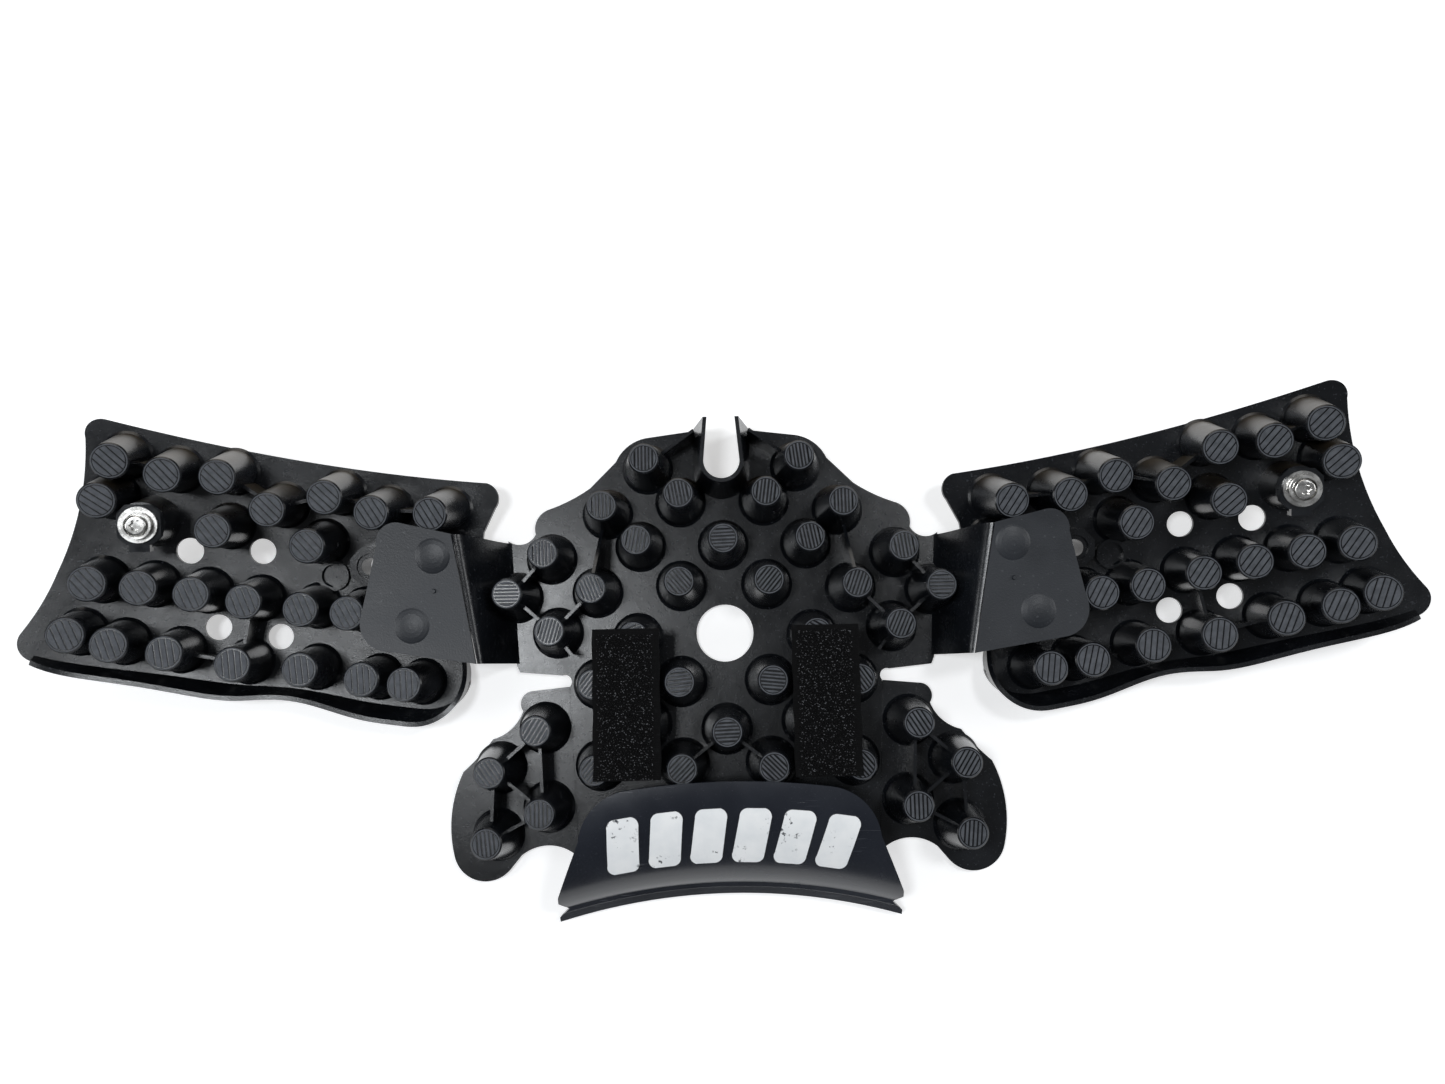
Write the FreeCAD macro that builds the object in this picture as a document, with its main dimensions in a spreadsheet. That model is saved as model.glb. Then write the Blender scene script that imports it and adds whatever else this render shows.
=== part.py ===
"""Post-and-sheet impact liner for a helmet front, laid out flat.

A thin moulded sheet carries tapered hollow cushioning posts. Two curved wings
hang from tabs on living hinges, two lower lobes fold on the sheet itself, and
a hard brow plate hooks over the lower edge. Millimetres; +Z is the post side,
+X is the wearer's right-hand wing, the origin is the centre of the round
window on the underside plane.
"""
import FreeCAD, Part
import math
import os

V = FreeCAD.Vector
UP = V(0, 0, 1)

doc = FreeCAD.newDocument("impact_liner")

DIMENSIONS = [
    ("sheet_thick", 2.0),
    ("post_height", 27.0),
    ("panel_post_top", 5.9),
    ("panel_post_base", 9.2),
    ("wing_post_top", 6.6),
    ("wing_post_base", 8.4),
    ("post_wall", 1.8),
    ("post_foot", 1.0),
    ("post_rim", 0.5),
    ("rib_thick", 1.2),
    ("window_radius", 11.3),
    ("wing_hole_radius", 5.0),
    ("wing_dish_radius", 390.0),
    ("dish_low_u", 22.0),
    ("dish_low_v", -50.0),
    ("wing_origin_x", 97.0),
    ("wing_origin_y", 17.5),
    ("left_yaw", 9.0),
    ("right_yaw", 11.0),
    ("wall_thick", 1.8),
    ("tab_thick", 1.8),
    ("joint_gap", 0.2),
    ("slot_top_radius", 6.9),
    ("slot_base_radius", 10.0),
    ("collar_thick", 1.5),
    ("collar_top", 27.0),
    ("brow_plan_radius", 235.0),
    ("brow_lip_y", -100.0),
    ("mark_height", 0.6),
    ("tape_width", 25.4),
    ("tape_length", 56.0),
    ("tape_thick", 2.2),
    ("tape_centre_x", 37.3),
    ("tape_centre_y", -26.4),
    ("boss_radius", 9.6),
    ("boss_height", 20.0),
    ("clip_side", 14.8),
    ("clip_thick", 3.2),
    ("flange_radius", 6.6),
    ("flange_thick", 1.6),
    ("cup_radius", 5.0),
    ("cup_height", 2.6),
    ("cup_floor", 0.8),
    ("screw_head_radius", 3.6),
    ("screw_head_height", 2.4),
    ("shank_radius", 2.4),
    ("shank_bore", 2.45),
    ("socket_bore", 3.3),
    ("socket_flat", 7.4),
    ("socket_height", 13.0),
    ("recess_radius", 4.5),
]

sheet = doc.addObject("Spreadsheet::Sheet", "Dimensions")
for row, (alias, value) in enumerate(DIMENSIONS, start=1):
    sheet.set("A%d" % row, alias)
    sheet.set("B%d" % row, str(value))
    sheet.setAlias("B%d" % row, alias)
doc.recompute()


def dim(alias):
    """Read one driving dimension."""
    return float(sheet.get(alias))


# Posts of the centre panel, right half (x, y); those with x = 0 stand once.
PANEL_POSTS = [
    (29.7, 66.3), (46.0, 48.4), (16.7, 52.7), (68.4, 30.8), (33.0, 35.1), (0, 35.1),
    (82.0, 15.7), (50.3, 17.1), (17.0, 19.1), (66.1, 1.4), (34.5, -1.4), (50.0, -18.9),
    (17.5, -18.7), (31.6, -34.9), (0, -37.5), (17.1, -50.7), (49.5, -50.5),
]
PANEL_RIBS = [
    ((46.0, 48.4), (50.3, 17.1), 0.45, 0.9), ((68.4, 30.8), (82.0, 15.7), 0.6, 0.6),
    ((82.0, 15.7), (66.1, 1.4), 0.6, 0.6), ((50.3, 17.1), (66.1, 1.4), 0.6, 0.6),
    ((66.1, 1.4), (55.0, -13.0), 0.5, 0.5), ((0, -37.5), (17.1, -50.7), 0.6, 0.6),
    ((49.5, -50.5), (44.0, -62.0), 0.6, 0.25),
]
LOBE_POSTS = [(71.4, -35.6), (88.6, -50.6), (70.0, -66.0), (89.6, -76.2)]
LOBE_RIBS = [(0, 1), (0, 2), (1, 2), (1, 3), (2, 3)]

# Posts of a wing in its own frame: u runs outwards, v towards the crown.
WING_POSTS = [
    (135.7, 33.2), (117.6, 31.2), (98.1, 33.6), (78.7, 24.0), (57.5, 32.0), (38.7, 28.6),
    (15.3, 31.2), (138.9, 17.6), (97.9, 12.8), (62.1, 12.1), (138.8, -14.4), (121.5, -13.4),
    (102.7, -13.0), (83.3, -13.1), (61.5, -13.1), (43.3, -12.1), (143.2, -35.0),
    (128.4, -36.6), (108.9, -37.1), (83.8, -38.1), (58.3, -36.8), (33.8, -37.4),
    (16.6, -37.0), (11.6, 15.2), (16.2, -13.4),
]
WING_RIBS = [
    (0, 1), (2, 3), (3, 4), (5, 6), (18, 19), (13, 19), (16, 17), (21, 22), (7, 0), (4, 5),
]
WING_HOLES = [(111.3, 1.0), (85.3, 4.8), (97.5, -26.8), (74.4, -27.2)]
BOSS = (124.8, 10.4)
SOCKET = (40.6, 6.0)
RECESS = (57.2, -0.6)


def arc_wire(points):
    """Closed flat wire through (x, y) points; a third value marks an arc's middle point."""
    edges = []
    count = len(points)
    index = 0
    while index < count:
        here = V(points[index][0], points[index][1], 0)
        after = points[(index + 1) % count]
        if len(after) == 3:
            end = points[(index + 2) % count]
            middle = V(after[0], after[1], 0)
            edges.append(Part.Arc(here, middle, V(end[0], end[1], 0)).toShape())
            index += 2
        else:
            edges.append(Part.LineSegment(here, V(after[0], after[1], 0)).toShape())
            index += 1
    return Part.Wire(edges)


def slab(wire, low, high):
    """Upright prism of a flat wire between two heights."""
    face = Part.Face(wire)
    face.translate(V(0, 0, low))
    block = face.extrude(V(0, 0, high - low))
    if block.Volume < 0:
        block.reverse()
    return block


def drills(holes):
    """Upright cylinders for (x, y, radius) holes."""
    return [Part.makeCylinder(radius, 140, V(x, y, -20), UP) for x, y, radius in holes]


def taper_radius(top_radius, base_radius, height, level):
    """Outer radius of a tapered post at a level above its foot."""
    return base_radius + (top_radius - base_radius) * level / height


def post(top_radius, base_radius, height):
    """Hollow tapered post on its own axis, with a small foot fillet and a broken rim."""
    foot = dim("post_foot")
    rim = dim("post_rim")
    wall_thick = dim("post_wall")
    sunk = -0.6
    bore_low = taper_radius(top_radius, base_radius, height, sunk) - wall_thick
    profile = [
        V(bore_low, 0, sunk), V(base_radius + foot, 0, sunk), V(base_radius + foot, 0, 0),
        V(base_radius, 0, foot), V(top_radius, 0, height - rim),
        V(top_radius - rim, 0, height), V(0, 0, height), V(0, 0, height - wall_thick),
        V(top_radius - wall_thick, 0, height - wall_thick), V(bore_low, 0, sunk),
    ]
    face = Part.Face(Part.makePolygon(profile))
    return face.revolve(V(0, 0, 0), UP, 360)


def bore_radius(radii):
    """Radius of the opening behind a hollow post."""
    return radii[1] - dim("post_wall") - 0.3


def rib(start, end, rise_start, rise_end, radii, normal=UP):
    """Thin web between two posts, ending inside their walls; radii = (top, base, height)."""
    along = end - start
    along.normalize()
    side = along.cross(normal)
    side.normalize()
    half = side * (dim("rib_thick") / 2)
    bite = 0.9

    def reach(level):
        return along * (taper_radius(*radii, level) - bite) if radii else V(0, 0, 0)

    ring = [
        start + reach(0) - normal, end - reach(0) - normal,
        end - reach(rise_end) + normal * rise_end,
        start + reach(rise_start) + normal * rise_start,
    ]
    ring.append(ring[0])
    face = Part.Face(Part.makePolygon([corner - half for corner in ring]))
    return face.extrude(half * 2)


def feature(name, shape):
    """Document object that holds one finished sub-part."""
    item = doc.addObject("Part::Feature", name)
    item.Label = name
    item.Shape = shape
    return item


def single_solid(shape):
    """The one solid of a boolean result."""
    if len(shape.Solids) != 1 or not shape.Solids[0].isValid():
        raise RuntimeError("expected one sound solid, found %d" % len(shape.Solids))
    return shape.Solids[0]


def mirror_x(shape):
    return shape.mirror(V(0, 0, 0), V(1, 0, 0))


def handed(outline, sign):
    """Outline as given for the right side, or its left-hand twin."""
    return [(sign * p[0], p[1]) + tuple(p[2:]) for p in outline]


def both_sides(points):
    """Right-half positions with their left-half twins."""
    twins = [(-x, y) for x, y in points if x != 0]
    return list(points) + twins


# ---------------------------------------------------------------- wing frame
class WingFrame:
    """A wing's frame: a yawed plan frame and a spherical dish; sign is -1 on the left."""

    def __init__(self, yaw, sign):
        angle = math.radians(yaw)
        self.sign = sign
        self.origin = V(sign * dim("wing_origin_x"), dim("wing_origin_y"), 0)
        self.out = V(sign * math.cos(angle), math.sin(angle), 0)
        self.crown = V(-sign * math.sin(angle), math.cos(angle), 0)
        self.radius = dim("wing_dish_radius")
        low = self.plan(dim("dish_low_u"), dim("dish_low_v"))
        self.centre = V(low.x, low.y, self.radius + dim("sheet_thick"))

    def plan(self, u, v):
        return self.origin + self.out * u + self.crown * v

    def on_dish(self, u, v, lift=0.0):
        """Point above the dish's upper face at a plan place, and the normal there."""
        flat = self.plan(u, v) - V(self.centre.x, self.centre.y, 0)
        radius = self.radius - lift
        drop = math.sqrt(radius ** 2 - flat.x ** 2 - flat.y ** 2)
        point = V(flat.x + self.centre.x, flat.y + self.centre.y, self.centre.z - drop)
        normal = (self.centre - point) * (1 / radius)
        return point, normal

    def place(self, u, v):
        point, normal = self.on_dish(u, v)
        turn = FreeCAD.Rotation(UP, normal)
        return FreeCAD.Placement(point, turn)

    def prism(self, outline):
        """Upright prism of an outline in the wing's plan frame."""
        block = slab(arc_wire(handed(outline, self.sign)), -20, 120)
        turn = FreeCAD.Rotation(V(1, 0, 0), self.out * self.sign)
        block.Placement = FreeCAD.Placement(self.origin, turn)
        return block

    def bowl(self, lift, thick, prism):
        """Dished sheet inside an upright prism; lift is the height of its lower face."""
        skins = []
        for level in (lift + thick, lift):
            rows = []
            for i in range(10):
                u = -14.0 + 178.0 * i / 9
                rows.append([self.on_dish(u, -62.0 + 120.0 * j / 7, level)[0] for j in range(8)])
            surface = Part.BSplineSurface()
            surface.interpolate(rows)
            skins.append(surface.toShape())
        faces = list(skins)
        for upper, lower in zip(skins[0].Edges, skins[1].Edges):
            faces.append(Part.makeRuledSurface(upper, lower))
        block = Part.Solid(Part.Shell(faces))
        if block.Volume < 0:
            block.reverse()
        return block.common(prism)


# ------------------------------------------------------------- hinge geometry
CREASE_LOW = V(92.0, -10.3, 32.2)
CREASE_HIGH = V(100.4, 37.6, 36.6)


# --------------------------------------------------------------- centre panel
PANEL_EDGE = [
    (9.5, 82.0), (29.0, 79.5), (36.0, 77.2, 0), (42.5, 69.8), (53.0, 59.3), (59.0, 55.6, 0),
    (69.0, 51.2), (74.0, 47.6, 0), (75.0, 41.0), (79.0, 37.4, 0), (86.0, 38.6),
    (82.6, -11.0), (81.4, -13.8), (64.6, -15.4), (61.0, -17.4, 0), (61.6, -19.6),
    (58.4, -85.5), (56.0, -90.2),
]


def panel_outline():
    """Closed outline: right edge, its mirror, and an arc under the brow plate."""
    right = PANEL_EDGE
    left = [(-p[0], p[1]) + tuple(p[2:]) for p in reversed(right)]
    return arc_wire(right + [(0, -83.6, 0)] + left)


def slot_loft(grow, low, high):
    """Tapered U-shaped core of the top slot, open towards the crown."""
    rings = []
    end = 90.0
    for height, radius, mouth in ((0.0, dim("slot_base_radius"), 10.6),
                                  (dim("collar_top"), dim("slot_top_radius"), 4.6)):
        r = radius + grow
        m = mouth + grow
        rings.append([V(-m, end, height), V(-r, 65.0, height), V(0, 65.0 - r, height),
                      V(r, 65.0, height), V(m, end, height)])
    span = dim("collar_top")
    wires = []
    for height in (low, high):
        share = height / span
        ring = [a + (b - a) * share for a, b in zip(*rings)]
        edges = [
            Part.LineSegment(ring[0], ring[1]).toShape(),
            Part.Arc(ring[1], ring[2], ring[3]).toShape(),
            Part.LineSegment(ring[3], ring[4]).toShape(),
            Part.LineSegment(ring[4], ring[0]).toShape(),
        ]
        wires.append(Part.Wire(edges))
    return Part.makeLoft(wires, True, True)


def strap():
    """Right strap that climbs from the sheet's edge to the crease."""
    half = dim("sheet_thick") / 2
    sections = []
    for foot, crest in ((81.5, CREASE_LOW), (84.5, CREASE_HIGH)):
        rise = crest.z - half - half
        run = crest.x - dim("joint_gap") - foot
        upper = []
        lower = []
        steps = 10
        for step in range(steps + 1):
            s = step / steps
            x = foot + run * s
            ramp = 0.5 - 0.5 * math.cos(math.pi * s)
            slope = rise * 0.5 * math.pi * math.sin(math.pi * s) / run
            norm = V(-slope, 0, 1)
            norm.normalize()
            middle = V(x, crest.y, half + rise * ramp)
            upper.append(middle + norm * half)
            lower.append(middle - norm * half)
        top = Part.BSplineCurve()
        top.interpolate(upper)
        bottom = Part.BSplineCurve()
        bottom.interpolate(list(reversed(lower)))
        edges = [
            top.toShape(),
            Part.LineSegment(upper[-1], lower[-1]).toShape(),
            bottom.toShape(),
            Part.LineSegment(lower[0], upper[0]).toShape(),
        ]
        sections.append(Part.Wire(edges))
    return Part.makeLoft(sections, True, True)


PANEL_RADII = (dim("panel_post_top"), dim("panel_post_base"),
               dim("post_height") - dim("sheet_thick"))
WING_RADII = (dim("wing_post_top"), dim("wing_post_base"), dim("post_height"))


def stand_posts(places, radii):
    """One hollow post on each placement."""
    posts = []
    for place in places:
        standing = post(*radii)
        standing.Placement = place
        posts.append(standing)
    return posts


def on_sheet(x, y):
    return FreeCAD.Placement(V(x, y, dim("sheet_thick")), FreeCAD.Rotation())


def center_panel():
    thick = dim("sheet_thick")
    height = dim("post_height")
    places = both_sides(PANEL_POSTS)
    add = stand_posts([on_sheet(x, y) for x, y in places], PANEL_RADII)
    holes = [(x, y, bore_radius(PANEL_RADII)) for x, y in places]
    holes.append((0, 0, dim("window_radius")))
    crown_side = Part.makeBox(60, 40, 60, V(-30, 82.0, -10))
    collar = slot_loft(dim("collar_thick"), 0, dim("collar_top")).cut(crown_side)
    add.append(collar.cut(slot_loft(0, -4, dim("collar_top") + 6)))
    for start, end, rise_start, rise_end in PANEL_RIBS:
        first = V(start[0], start[1], thick)
        last = V(end[0], end[1], thick)
        web = rib(first, last, height * rise_start, height * rise_end, PANEL_RADII)
        add.append(web)
        add.append(mirror_x(web))
    gusset = rib(V(10.6, 78.0, thick), V(24.2, 69.6, thick), 20.0, 14.0, None)
    add.append(gusset)
    add.append(mirror_x(gusset))
    add.append(strap())
    add.append(mirror_x(strap()))
    body = slab(panel_outline(), 0, thick).cut(drills(holes))
    body = body.cut(slot_loft(0, -4, dim("collar_top") + 6))
    return single_solid(body.multiFuse(add))


# ---------------------------------------------------------------- lower lobes
LOBE_EDGE = [
    (61.9, -19.8), (76.0, -21.2), (79.4, -22.4, 0), (80.2, -29.0), (85.0, -36.0, 0),
    (92.0, -39.6), (95.4, -43.8, 0), (103.6, -52.0), (106.6, -60.0, 0), (107.0, -84.0),
    (95.0, -94.0, 0), (85.5, -90.0), (81.0, -84.6), (71.0, -80.9, 0), (60.0, -84.6),
    (58.6, -85.4),
]


def lobe():
    """Right lower lobe with its four linked posts."""
    thick = dim("sheet_thick")
    level = dim("post_height") * 0.6
    add = stand_posts([on_sheet(x, y) for x, y in LOBE_POSTS], PANEL_RADII)
    holes = [(x, y, bore_radius(PANEL_RADII)) for x, y in LOBE_POSTS]
    for first, last in LOBE_RIBS:
        start = V(LOBE_POSTS[first][0], LOBE_POSTS[first][1], thick)
        end = V(LOBE_POSTS[last][0], LOBE_POSTS[last][1], thick)
        add.append(rib(start, end, level, level, PANEL_RADII))
    body = slab(arc_wire(LOBE_EDGE), 0, thick).cut(drills(holes))
    return single_solid(body.multiFuse(add))


# ---------------------------------------------------------------------- wings
WING_EDGE = [
    (2.0, 43.0), (75.0, 41.6, 0), (143.0, 45.0), (148.2, 43.2, 0), (149.6, 37.0),
    (149.4, 14.0, 0), (154.0, -14.0), (157.4, -26.5, 0), (162.0, -38.0), (161.6, -45.6, 0),
    (154.0, -48.4), (110.0, -48.8, 0), (62.0, -47.6), (36.0, -49.0, 0), (10.0, -48.0),
    (1.6, -42.8, 0), (-1.6, -35.0), (1.0, -24.0), (1.0, 24.0), (-2.4, 34.0),
    (-2.2, 40.6, 0),
]
# Stations of the upturned wall: foot (u, v), lean outwards, height.
WALL_STATIONS = [
    (157.0, -46.4, 2.2, 4.0), (146.0, -47.7, 3.0, 8.0), (125.0, -48.0, 3.4, 10.0),
    (97.0, -48.2, 4.6, 11.0), (78.0, -47.6, 3.6, 11.0), (62.0, -47.0, 2.8, 11.0),
    (44.0, -48.0, 4.2, 12.0), (26.0, -48.4, 5.2, 12.0), (11.0, -47.4, 4.6, 12.0),
    (3.0, -42.9, 2.6, 12.0), (-0.4, -35.0, 1.2, 9.0), (1.4, -27.0, 0.6, 4.0),
]


def wall(frame):
    """Upturned wall along the wing's lower edge and inner corner."""
    thick = dim("wall_thick")
    sections = []
    last = len(WALL_STATIONS) - 1
    for index, (u, v, lean, rise) in enumerate(WALL_STATIONS):
        ahead = WALL_STATIONS[min(index + 1, last)]
        behind = WALL_STATIONS[max(index - 1, 0)]
        along = frame.plan(ahead[0], ahead[1]) - frame.plan(behind[0], behind[1])
        along.normalize()
        outward = along.cross(UP) * -frame.sign
        foot, normal = frame.on_dish(u, v)
        inner_foot = foot - normal * 1.2 - outward * (thick / 2)
        outer_foot = inner_foot + outward * thick
        inner_top = foot + outward * (lean - thick / 2) + normal * rise
        outer_top = inner_top + outward * thick
        ring = [inner_foot, outer_foot, outer_top, inner_top, inner_foot]
        sections.append(Part.makePolygon(ring))
    return Part.makeLoft(sections, True, False)


def octagon(radius, height):
    corners = []
    for step in range(9):
        angle = math.radians(22.5 + 45 * step)
        corners.append(V(radius * math.cos(angle), radius * math.sin(angle), 0))
    face = Part.Face(Part.makePolygon(corners))
    return face.extrude(V(0, 0, height))


def wing(frame):
    """Curved wing sheet with posts, ribs, wall, boss, socket seat and holes."""
    level = dim("post_height") * 0.55
    posts = stand_posts([frame.place(u, v) for u, v in WING_POSTS], WING_RADII)
    webs = [wall(frame)]
    for first, last in WING_RIBS:
        start, normal = frame.on_dish(*WING_POSTS[first])
        end = frame.on_dish(*WING_POSTS[last])[0]
        webs.append(rib(start, end, level, level, WING_RADII, normal))

    sunk = V(0, 0, -0.6)
    foot = dim("boss_radius")
    boss = Part.makeCone(foot, foot - 1.4, dim("boss_height") + 0.6, sunk, UP)
    boss = boss.cut(Part.makeCylinder(dim("shank_bore"), 60, V(0, 0, -20), UP))
    boss.Placement = frame.place(*BOSS)
    seat = Part.makeCylinder(dim("socket_flat") + 1.6, 3.4, sunk, UP)
    seat = seat.cut(Part.makeCylinder(dim("socket_flat") - 1.6, 30, V(0, 0, -10), UP))
    seat.Placement = frame.place(*SOCKET)
    ring = Part.makeCylinder(dim("recess_radius") + 1.4, 2.8, sunk, UP)
    ring = ring.cut(Part.makeCylinder(dim("recess_radius"), 10, V(0, 0, -2), UP))
    ring.Placement = frame.place(*RECESS)

    seats = [(place, bore_radius(WING_RADII)) for place in WING_POSTS]
    seats.append((BOSS, dim("shank_bore") + 2.0))
    seats.append((SOCKET, dim("socket_flat") - 1.2))
    holes = []
    for (u, v), radius in seats:
        spot = frame.plan(u, v)
        holes.append((spot.x, spot.y, radius))
    tools = drills(holes)
    for place in WING_HOLES:
        tool = Part.makeCylinder(dim("wing_hole_radius"), 16, V(0, 0, -8), UP)
        tool.Placement = frame.place(*place)
        tools.append(tool)
    thick = dim("sheet_thick")
    body = frame.bowl(-thick, thick, frame.prism(WING_EDGE)).cut(tools)
    body = body.multiFuse(posts)
    for piece in webs + [boss, seat, ring]:
        body = body.multiFuse([piece])
    return single_solid(body)


# ----------------------------------------------------------------------- tabs
TAB_EDGE = [
    (100.4, 37.6), (119.0, 42.0), (126.0, 40.2, 0), (128.2, 34.0), (134.4, 9.0),
    (133.2, -0.6, 0), (126.0, -5.0), (92.0, -10.3),
]
TAB_LIFT = 0.15


def dome(radius, rise, level):
    """Low round swelling that stands on a level, turned from a few shallow steps of slope."""
    profile = [V(0, 0, level - 0.8), V(radius, 0, level - 0.8)]
    for share, climb in ((1.0, 0.0), (0.85, 0.36), (0.64, 0.68), (0.38, 0.90), (0.15, 1.0)):
        profile.append(V(radius * share, 0, level + rise * climb))
    profile.append(V(0, 0, level + rise))
    profile.append(profile[0])
    return Part.Face(Part.makePolygon(profile)).revolve(V(0, 0, 0), UP, 360)


def tab(frame):
    """Rounded tab that lies on the wing's two inner posts, with their bumps."""
    lift = dim("post_height") + TAB_LIFT
    thick = dim("tab_thick")
    outline = [(p[0] + dim("joint_gap"),) + tuple(p[1:]) for p in TAB_EDGE]
    prism = slab(arc_wire(handed(outline, frame.sign)), 0, 90)
    sheet_part = frame.bowl(lift, thick, prism)
    bumps = []
    for index in (23, 24):
        place = frame.place(*WING_POSTS[index])
        bump = dome(dim("wing_post_top") + 0.4, 1.2, lift + thick - 0.1)
        bump.Placement = place
        bumps.append(bump)
    nub_place = frame.place(9.2, 1.5)
    nub = Part.makeCone(1.0, 0.6, 1.2, V(0, 0, lift + thick - 0.3), UP)
    nub.Placement = nub_place
    return single_solid(sheet_part.multiFuse(bumps + [nub]))


# ------------------------------------------------------------------ brow plate
# Sections in (y, z): the shown face from its rear edge down, and the face behind it.
BROW_FACE = [(-55.2, 31.0), (-66.0, 30.0), (-78.0, 26.2), (-89.0, 18.6), (-94.6, 10.8)]
BROW_BACK = [(-93.2, 7.6), (-91.0, 11.6), (-86.4, 17.0), (-77.0, 23.6), (-65.4, 27.4),
             (-55.2, 28.4)]
BROW_LIP = [(-96.4, 9.6), (-97.2, 6.4), (-100.0, 4.2), (-100.0, 0.0), (-84.2, 0.0),
            (-84.2, 2.0), (-94.0, 2.4)]
BROW_EDGE = [
    (38.0, -40.0), (38.0, -57.8), (49.9, -63.9, 0), (55.6, -76.0),
    (64.6, -98.0), (64.8, -100.6), (61.4, -103.2), (65.6, -107.4), (65.4, -120.0),
]


def smooth_edge(points, lift=0.0):
    """Smooth edge through (y, z) points, raised by lift."""
    curve = Part.BSplineCurve()
    curve.interpolate([V(0, y, z + lift) for y, z in points])
    return curve.toShape()


def straight_edges(points):
    """Straight edges from each (y, z) point to the next."""
    spots = [V(0, y, z) for y, z in points]
    return [Part.LineSegment(a, b).toShape() for a, b in zip(spots, spots[1:])]


def brow_shell(edges):
    """Section revolved round the plate's upright centre line of curvature."""
    centre_y = dim("brow_lip_y") - dim("brow_plan_radius")
    face = Part.Face(Part.Wire(Part.__sortEdges__(edges)))
    face.rotate(V(0, centre_y, 0), UP, -20)
    return face.revolve(V(0, centre_y, 0), UP, 40)


def brow_plate():
    """Glossy plate: hooked section trimmed to the plate's outline."""
    left = [(-p[0], p[1]) + tuple(p[2:]) for p in reversed(BROW_EDGE)]
    prism = slab(arc_wire(BROW_EDGE + left), -5, 60)
    lip = straight_edges([BROW_FACE[-1]] + BROW_LIP + [BROW_BACK[0]])
    rear = straight_edges([BROW_BACK[-1], BROW_FACE[0]])
    section = [smooth_edge(BROW_FACE)] + lip + [smooth_edge(BROW_BACK)] + rear
    return single_solid(brow_shell(section).common(prism))


def marks_solid():
    """Row of plain slanted bars that lie on the plate's face."""
    centre_y = dim("brow_lip_y") - dim("brow_plan_radius")
    rest = 0.08
    top = dim("mark_height")
    ends = []
    for y, z in (BROW_FACE[0], BROW_FACE[-1]):
        ends += straight_edges([(y, z + rest), (y, z + top)])
    band = brow_shell([smooth_edge(BROW_FACE, rest), smooth_edge(BROW_FACE, top)] + ends)
    bars = []
    count = 6
    for step in range(count):
        angle = (step - (count - 1) / 2) * 3.5
        bar = slab(arc_wire([(-4.9, -85.4), (-6.9, -83.4, 0), (-6.7, -81.4), (-4.4, -68.0),
                             (-3.4, -65.6, 0), (-1.2, -64.8), (5.0, -64.8), (7.2, -66.8, 0),
                             (7.2, -69.0), (4.9, -82.4), (3.9, -84.6, 0), (1.7, -85.4)]), 0, 60)
        bar.rotate(V(0, centre_y, 0), UP, angle)
        bars.append(bar)
    return band.common(Part.makeCompound(bars))


# ------------------------------------------------------------------- hardware
def star_screw():
    """Pan head with a six-lobe recess on a plain shank; origin at the head's underside."""
    head = Part.makeCylinder(dim("screw_head_radius"), dim("screw_head_height"))
    head = head.makeFillet(0.7, [head.Edges[0]])
    shank_length = 27.0
    shank = Part.makeCylinder(dim("shank_radius"), shank_length, V(0, 0, -shank_length), UP)
    body = head.fuse(shank)
    top = dim("screw_head_height")
    depth = 1.5
    star = Part.makeCylinder(1.7, depth + 1, V(0, 0, top - depth), UP)
    lobes = []
    for step in range(6):
        angle = math.radians(60 * step)
        centre = V(1.7 * math.cos(angle), 1.7 * math.sin(angle), top - depth)
        lobes.append(Part.makeCylinder(0.55, depth + 1, centre, UP))
    return body.cut(star.multiFuse(lobes))


def washer(name, outer, bore, thick):
    """Parametric plain washer: one cylinder cut by another, bound to the sheet."""
    disc = doc.addObject("Part::Cylinder", name + "_disc")
    disc.setExpression("Radius", outer)
    disc.setExpression("Height", thick)
    hole = doc.addObject("Part::Cylinder", name + "_hole")
    hole.setExpression("Radius", bore)
    hole.setExpression("Height", thick + " + 2")
    hole.Placement.Base = V(0, 0, -1)
    cut = doc.addObject("Part::Cut", name)
    cut.Base = disc
    cut.Tool = hole
    cut.Label = name
    return cut


def clip_shape():
    """Square retainer with cut corners and a bore for the shank."""
    half = dim("clip_side") / 2
    snip = 3.0
    outline = [(half, -half + snip), (half, half - snip), (half - snip, half),
               (-half + snip, half), (-half, half - snip), (-half, -half + snip),
               (-half + snip, -half), (half - snip, -half)]
    block = slab(arc_wire(outline), 0, dim("clip_thick"))
    reach = 3.0
    lip_thick = 1.5
    lip_drop = 2.8
    bridge = Part.makeBox(7.0, reach, dim("clip_thick"), V(-3.5, -half - reach + 0.4, 0))
    lip = Part.makeBox(7.0, lip_thick, lip_drop + dim("clip_thick"),
                       V(-3.5, -half - reach + 0.4, -lip_drop))
    block = block.fuse(bridge).fuse(lip)
    return block.cut(Part.makeCylinder(dim("shank_bore"), 20, V(0, 0, -8), UP))


def cup_shape():
    """Flared cup washer whose rim stands round the screw head."""
    rim = dim("cup_radius")
    top = dim("cup_height")
    floor = dim("cup_floor")
    profile = [
        V(dim("shank_bore"), 0, 0), V(rim - 1.0, 0, 0), V(rim, 0, 1.0), V(rim, 0, top),
        V(rim - 0.8, 0, top), V(rim - 1.1, 0, floor), V(dim("shank_bore"), 0, floor),
        V(dim("shank_bore"), 0, 0),
    ]
    return Part.Face(Part.makePolygon(profile)).revolve(V(0, 0, 0), UP, 360)


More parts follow.
